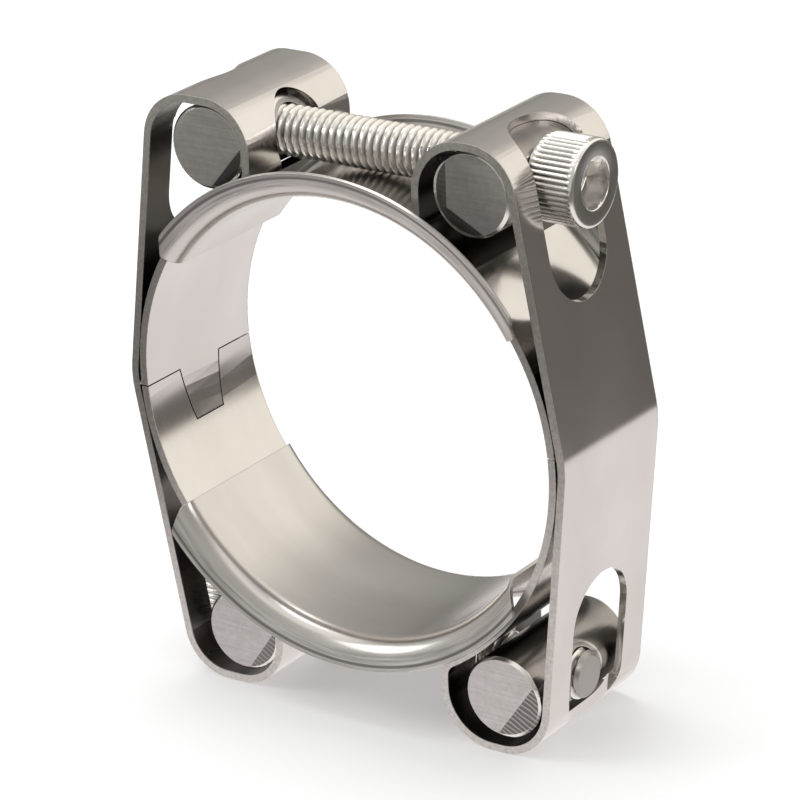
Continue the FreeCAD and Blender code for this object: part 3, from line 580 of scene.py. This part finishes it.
def tree_with(name, sizes):
    """Empty geometry tree with one number input for each size."""
    tree = bpy.data.node_groups.new(name, "GeometryNodeTree")
    tree.interface.new_socket("Geometry", in_out="INPUT", socket_type="NodeSocketGeometry")
    for title, default in sizes:
        socket = tree.interface.new_socket(title, in_out="INPUT", socket_type="NodeSocketFloat")
        socket.default_value = default
    tree.interface.new_socket("Geometry", in_out="OUTPUT", socket_type="NodeSocketGeometry")
    entry = tree.nodes.new("NodeGroupInput")
    inputs = {title: Value(tree, entry.outputs[title]) for title, _ in sizes}
    return tree, entry, inputs


def finish_tree(tree, geometry, material):
    """Merge, smooth, realise and paint, then leave the tree."""
    merge = tree.nodes.new("GeometryNodeMergeByDistance")
    merge.inputs["Distance"].default_value = MERGE
    smooth = tree.nodes.new("GeometryNodeSetShadeSmooth")
    realise = tree.nodes.new("GeometryNodeRealizeInstances")
    paint = tree.nodes.new("GeometryNodeSetMaterial")
    paint.inputs["Material"].default_value = material
    leave = tree.nodes.new("NodeGroupOutput")
    chain = (merge, smooth, realise, paint)
    for node in chain:
        tree.links.new(geometry, node.inputs["Geometry"])
        geometry = node.outputs["Geometry"]
    tree.links.new(geometry, leave.inputs["Geometry"])


def store(tree, geometry, name, value):
    """Keep a number on the points, for the material to read."""
    node = tree.nodes.new("GeometryNodeStoreNamedAttribute")
    node.data_type = "FLOAT"
    node.domain = "POINT"
    node.inputs["Name"].default_value = name
    tree.links.new(geometry, node.inputs["Geometry"])
    tree.links.new(value.socket, node.inputs["Value"])
    return node.outputs["Geometry"]


def thread_tree():
    tree, entry, size = tree_with(
        "rolled_thread",
        (("Length", 45 * MM), ("Crest", 2.95 * MM), ("Depth", 0.56 * MM), ("Pitch", PITCH),
         ("Tip radius", 2.35 * MM), ("Plain", 3 * MM)),
    )
    grid = tree.nodes.new("GeometryNodeMeshGrid")
    for name, number in (("Size X", 1.0), ("Size Y", 1.0), ("Vertices X", 411), ("Vertices Y", 61)):
        grid.inputs[name].default_value = number
    where = tree.nodes.new("GeometryNodeInputPosition")
    split = tree.nodes.new("ShaderNodeSeparateXYZ")
    tree.links.new(where.outputs[0], split.inputs[0])
    along = Value(tree, split.outputs[0]) + 0.5
    around = Value(tree, split.outputs[1]) + 0.5
    x = (along * 1.005 - 0.0025).math("MAXIMUM", 0.0).math("MINIMUM", 1.0) * size["Length"]
    phase = (x / size["Pitch"] - around + 0.25).math("FRACT")
    valley = 1 - (2 * phase - 1).math("ABSOLUTE")
    cut = (valley * 1.3 - 0.16).math("MAXIMUM", 0.0).math("MINIMUM", 1.0)
    cut = cut * ((x - size["Plain"]) / size["Pitch"]).math("MAXIMUM", 0.0).math("MINIMUM", 1.0)
    radius = size["Crest"] - size["Depth"] * cut
    radius = radius.math("MINIMUM", size["Length"] - x + size["Tip radius"])
    radius = radius * along.above(0.0005) * along.below(0.9995)
    angle = around * math.tau
    join = tree.nodes.new("ShaderNodeCombineXYZ")
    for place, value in enumerate((x, radius * angle.math("COSINE"), radius * angle.math("SINE"))):
        tree.links.new(value.socket, join.inputs[place])
    # The groove depth is kept for the painted shade in the thread roots.
    kept = store(tree, grid.outputs["Mesh"], "groove", cut)
    # The tip end is marked for painted shade in the screw steel.
    end_face = along.above(0.984)
    kept = store(tree, kept, "end_face_shade", end_face)
    shape = tree.nodes.new("GeometryNodeSetPosition")
    tree.links.new(kept, shape.inputs["Geometry"])
    tree.links.new(join.outputs[0], shape.inputs["Position"])
    finish_tree(tree, shape.outputs["Geometry"], screw.material)
    return tree


thread_shape = thread_tree()
print("thread tree:", len(thread_shape.nodes), "nodes")

# %% [markdown]
# ## The knurled head
# The head is round, so rings of points make its form: the underside, the knurled band, the edge,
# the face and the six sided socket. The knurl could be 48 small cutters and as many booleans. It is
# again a rule, grooves along the axis at even steps round it, so a second tree presses them into
# the band.

# %% A tree that presses a knurl
RIDGES = 48
AROUND = RIDGES * 8


def knurl_tree():
    tree, entry, size = tree_with(
        "pressed_knurl",
        (("Count", float(RIDGES)), ("Depth", 0.17 * MM), ("Start", 0.5 * MM), ("End", 5.55 * MM),
         ("Inner", 4.6 * MM), ("Fade", 0.3 * MM)),
    )
    where = tree.nodes.new("GeometryNodeInputPosition")
    split = tree.nodes.new("ShaderNodeSeparateXYZ")
    tree.links.new(where.outputs[0], split.inputs[0])
    x, y, z = (Value(tree, split.outputs[i]) for i in range(3))
    radius = (y * y + z * z).math("SQRT").math("MAXIMUM", 0.01 * MM)
    angle = z.math("ARCTAN2", y)
    ridge = (angle * size["Count"]).math("COSINE") * 0.5 + 0.5
    groove = 1 - ridge.math("POWER", 0.7)
    band = ((x - size["Start"]) / size["Fade"]).math("MAXIMUM", 0.0).math("MINIMUM", 1.0)
    band = band * ((size["End"] - x) / size["Fade"]).math("MAXIMUM", 0.0).math("MINIMUM", 1.0)
    band = band * radius.math("GREATER_THAN", size["Inner"])
    pressed = groove * band
    scale = (radius - size["Depth"] * pressed) / radius
    join = tree.nodes.new("ShaderNodeCombineXYZ")
    for place, value in enumerate((x, y * scale, z * scale)):
        tree.links.new(value.socket, join.inputs[place])
    # The groove depth is kept for the painted shade in the knurl's grooves.
    kept = store(tree, entry.outputs["Geometry"], "groove", pressed)
    # The flat face of the head is marked for painted shade in the screw steel.
    flat_ring = x.above(5.97 * MM) * radius.above(3.02 * MM) * radius.below(4.6 * MM)
    kept = store(tree, kept, "end_face_shade", flat_ring)
    shape = tree.nodes.new("GeometryNodeSetPosition")
    tree.links.new(kept, shape.inputs["Geometry"])
    tree.links.new(join.outputs[0], shape.inputs["Position"])
    finish_tree(tree, shape.outputs["Geometry"], screw.material)
    return tree


knurl_shape = knurl_tree()


# %% Turn the head from rings of points
def turned_head():
    """Cap screw head along X, its underside at 0, with a six sided socket."""
    round_rows = [(0.0, 0.0), (0.0, 3.6), (0.0, 4.55), (0.06, 4.76), (0.22, 4.92), (0.5, 4.97)]
    round_rows += [(0.5 + 0.36 * i, 5.0) for i in range(1, 14)]
    round_rows += [(5.5, 5.0), (5.7, 4.98), (5.84, 4.92), (5.94, 4.82), (5.99, 4.72), (6.0, 4.64)]
    round_rows += [(6.0, 4.5), (6.0, 3.05), (5.97, 2.98), (5.9, 2.93)]
    socket_rows = [(5.84, 1.0), (5.5, 1.0), (4.4, 1.0), (3.15, 1.0), (3.0, 0.93)]
    angles = [math.tau * i / AROUND for i in range(AROUND)]
    work = bmesh.new()
    rings = []
    for x, r in round_rows[1:]:
        rings.append([work.verts.new((x, r * math.cos(a), r * math.sin(a))) for a in angles])
    for x, share in socket_rows:
        ring = []
        for a in angles:
            folded = (a + math.radians(10)) % math.radians(60) - math.radians(30)
            r = share * 2.5 / math.cos(folded)
            ring.append(work.verts.new((x, r * math.cos(a), r * math.sin(a))))
        rings.append(ring)
    for first, second in zip(rings, rings[1:]):
        for i in range(AROUND):
            j = (i + 1) % AROUND
            work.faces.new((first[i], second[i], second[j], first[j]))
    for ring, x in ((rings[0], 0.0), (rings[-1], 2.6)):
        pole = work.verts.new((x, 0.0, 0.0))
        for i in range(AROUND):
            work.faces.new((pole, ring[i], ring[(i + 1) % AROUND]))
    bmesh.ops.recalc_face_normals(work, faces=work.faces)
    mesh = bpy.data.meshes.new("head")
    work.to_mesh(mesh)
    work.free()
    mesh.transform(Matrix.Scale(MM, 4))
    return mesh


def grown(tree, mesh, name):
    """Run a tree on a mesh and return the result as a plain piece."""
    source = bpy.data.objects.new(f"{name}_source", mesh)
    scene.collection.objects.link(source)
    modifier = source.modifiers.new("shape", "NODES")
    modifier.node_group = tree
    piece = plain_copy(source, name)
    work = bmesh.new()
    work.from_mesh(piece.data)
    bmesh.ops.recalc_face_normals(work, faces=work.faces)
    work.to_mesh(piece.data)
    work.free()
    piece.data.set_sharp_from_angle(angle=math.radians(38))
    return piece


# %% [markdown]
# ## Two finished screws
# Both screws are alike, and the lower one is turned half round. Head and thread are made once along
# X and then turned into place. A pattern of two could be instances, but each screw spins by itself,
# so each gets pieces of its own.

# %% Place the screws
HEAD_HEIGHT = 6.0 * MM
for bolt, facing in (("top_bolt", 1), ("bottom_bolt", -1)):
    low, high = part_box(bolt)
    axis_height = (low.z + high.z) / 2
    seat = high.x - HEAD_HEIGHT if facing == 1 else low.x + HEAD_HEIGHT
    outward = Matrix.Identity(4) if facing == 1 else Matrix.Rotation(math.pi, 4, "Y")
    inward = outward @ Matrix.Rotation(math.pi, 4, "Z")
    place = Matrix.Translation((seat, 0.0, axis_height))
    head = grown(knurl_shape, turned_head(), f"{bolt}_head")
    head.data.transform(place @ outward)
    shank = grown(thread_shape, bpy.data.meshes.new("blank"), f"{bolt}_thread")
    shank.data.transform(place @ inward)
    for piece in (head, shank):
        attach(piece, bolt)
    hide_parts(bolt)
    print(bolt, "head", len(head.data.polygons), "thread", len(shank.data.polygons))

# %% [markdown]
# ## The studio
# Polished steel shows its surroundings. The clamp stands on a white table. What the metal sees of
# it is a light disc near the clamp and a darker room beyond, so a face that looks down at the
# table is light, one that looks level into the room is dark, and the two halves of a leg differ
# sharply at their bend. The room grows lighter upward. A window behind on the right draws the
# bright bands on the loops and in the lower bridge, and a grey wall in front lights the flanges.
# Real panels could stand round the clamp. They would show in no other way than this, so the world
# and the table paint them for mirrored rays alone, and the camera sees plain white.

# %% The table
floor_mesh = bpy.data.meshes.new("table_top")
reach = 4.0
floor_mesh.from_pydata(
    [(-reach, -reach, 0), (reach, -reach, 0), (reach, reach, 0), (-reach, reach, 0)],
    [],
    [(0, 1, 2, 3)],
)
floor = bpy.data.objects.new("table_top", floor_mesh)
scene.collection.objects.link(floor)
floor.location.z = cad_low.z

table = Finish("table_white")
rays = table.node("ShaderNodeLightPath").outputs
seen_in_metal = Value(table.tree, rays["Is Glossy Ray"])
seen_direct = Value(table.tree, rays["Is Camera Ray"])
disc_x, disc_y = table.x - 0.028, table.y - 0.035
beyond_disc = (disc_x * disc_x + disc_y * disc_y).math("SQRT").ramp(0.112, 0.126)
front_wall = (-0.53 * table.x - 0.85 * table.y).ramp(0.24, 0.30)
front_wall = front_wall.math("MAXIMUM", (-1.0 * table.x).ramp(0.15, 0.19))
table.tree.nodes.remove(table.shader)
matt = table.node("ShaderNodeBsdfDiffuse", Color=(0.86, 0.86, 0.86, 1))
lift = table.node("ShaderNodeEmission", Color=(1, 1, 1, 1), Strength=0.20)
lit = table.node("ShaderNodeAddShader")
table.tree.links.new(matt.outputs[0], lit.inputs[0])
table.tree.links.new(lift.outputs[0], lit.inputs[1])
room_tone = table.mix(front_wall, (0.17, 0.158, 0.145, 1), (0.62, 0.60, 0.57, 1))
mirror_tone = table.mix(beyond_disc, (0.98, 0.935, 0.93, 1), room_tone)
mirrored = table.node("ShaderNodeEmission", Color=mirror_tone, Strength=1.0)
direct = table.node("ShaderNodeMixShader")
table.set(direct.inputs[0], seen_direct)
table.tree.links.new(matt.outputs[0], direct.inputs[1])
table.tree.links.new(lit.outputs[0], direct.inputs[2])
chosen = table.node("ShaderNodeMixShader")
table.set(chosen.inputs[0], seen_in_metal)
table.tree.links.new(direct.outputs[0], chosen.inputs[1])
table.tree.links.new(mirrored.outputs[0], chosen.inputs[2])
table.tree.links.new(chosen.outputs[0], table.output.inputs["Surface"])
floor_mesh.materials.append(table.material)

# %% The room
room = bpy.data.worlds.new("studio_room")
scene.world = room
room.use_nodes = True
room_tree = room.node_tree
room_tree.nodes.clear()


def room_node(kind, *linked):
    """Add a node to the room, its first inputs linked or set in order."""
    node = room_tree.nodes.new(kind)
    for place, item in enumerate(linked):
        if isinstance(item, bpy.types.NodeSocket):
            room_tree.links.new(item, node.inputs[place])
        else:
            node.inputs[place].default_value = item
    return node


def panel(factor, behind, colour, blend):
    """Lay one colour over the room where the factor says."""
    node = room_tree.nodes.new("ShaderNodeMix")
    node.data_type = "RGBA"
    node.blend_type = blend
    room_tree.links.new(factor.socket, node.inputs["Factor"])
    room_tree.links.new(behind, node.inputs[6])
    node.inputs[7].default_value = colour
    return node.outputs[2]


BY_HEIGHT = (
    (0.00, (0.16, 0.15, 0.14, 1)),
    (0.50, (0.20, 0.187, 0.172, 1)),
    (0.55, (0.30, 0.285, 0.265, 1)),
    (0.60, (0.38, 0.362, 0.34, 1)),
    (0.68, (0.42, 0.405, 0.38, 1)),
    (0.78, (0.50, 0.48, 0.45, 1)),
    (0.86, (0.62, 0.60, 0.56, 1)),
    (0.91, (1.25, 1.21, 1.14, 1)),
    (0.96, (1.05, 1.02, 0.97, 1)),
    (1.00, (0.45, 0.44, 0.43, 1)),
)
direction = room_node("ShaderNodeTexCoord").outputs["Generated"]
room_split = room_node("ShaderNodeSeparateXYZ", direction)
sideways, inward_depth, upward = (Value(room_tree, room_split.outputs[i]) for i in range(3))
heights = room_node("ShaderNodeValToRGB", (upward * 0.5 + 0.5).socket)
while len(heights.color_ramp.elements) < len(BY_HEIGHT):
    heights.color_ramp.elements.new(1.0)
for element, (position, colour) in zip(heights.color_ramp.elements, BY_HEIGHT):
    element.position = position
    element.color = colour
toward_front = (-0.53 * sideways - 0.85 * inward_depth).ramp(0.1, 0.6)
walls = panel(toward_front, heights.outputs[0], (0.60, 0.585, 0.56, 1), "LIGHTEN")
in_window = sideways.ramp(-0.10, 0.24) * upward.ramp(0.0, 0.05) * (1 - upward.ramp(0.70, 0.85))
in_window = in_window * inward_depth.ramp(0.1, 0.4)
walls = panel(in_window, walls, (1.22, 1.16, 1.06, 1), "MIX")
mirrored_room = room_node("ShaderNodeBackground", walls).outputs[0]
soft_room = room_node("ShaderNodeBackground", (0.70, 0.70, 0.70, 1)).outputs[0]
white_room = room_node("ShaderNodeBackground", (1, 1, 1, 1)).outputs[0]
room_rays = room_node("ShaderNodeLightPath").outputs
lit_by = room_node("ShaderNodeMixShader", room_rays["Is Glossy Ray"], soft_room, mirrored_room)
seen = room_node("ShaderNodeMixShader", room_rays["Is Camera Ray"], lit_by.outputs[0], white_room)
room_node("ShaderNodeOutputWorld", seen.outputs[0])
print("room:", len(room_tree.nodes), "nodes")

# %% [markdown]
# ## The lamps
# A product photographer hangs large soft boxes round the table. One overhead gives the soft shadow,
# and two smaller ones at the sides keep it open. Sun or point lamps would draw hard edges on the
# white table and pin sharp glints on the metal.


# %% Hang the soft boxes
def softbox(name, position, size, power):
    """Square lamp that faces the clamp."""
    data = bpy.data.lights.new(name, "AREA")
    data.shape = "SQUARE"
    data.size = size
    data.energy = power
    lamp = bpy.data.objects.new(name, data)
    scene.collection.objects.link(lamp)
    lamp.location = position
    lamp.rotation_euler = (-Vector(position)).to_track_quat("-Z", "Y").to_euler()
    return lamp


softbox("overhead_softbox", (-0.15, 0.10, 0.75), 0.5, 2.2)
softbox("left_softbox", (-0.65, -0.45, 0.45), 0.35, 1.2)
softbox("right_softbox", (0.75, -0.15, 0.40), 0.22, 0.5)
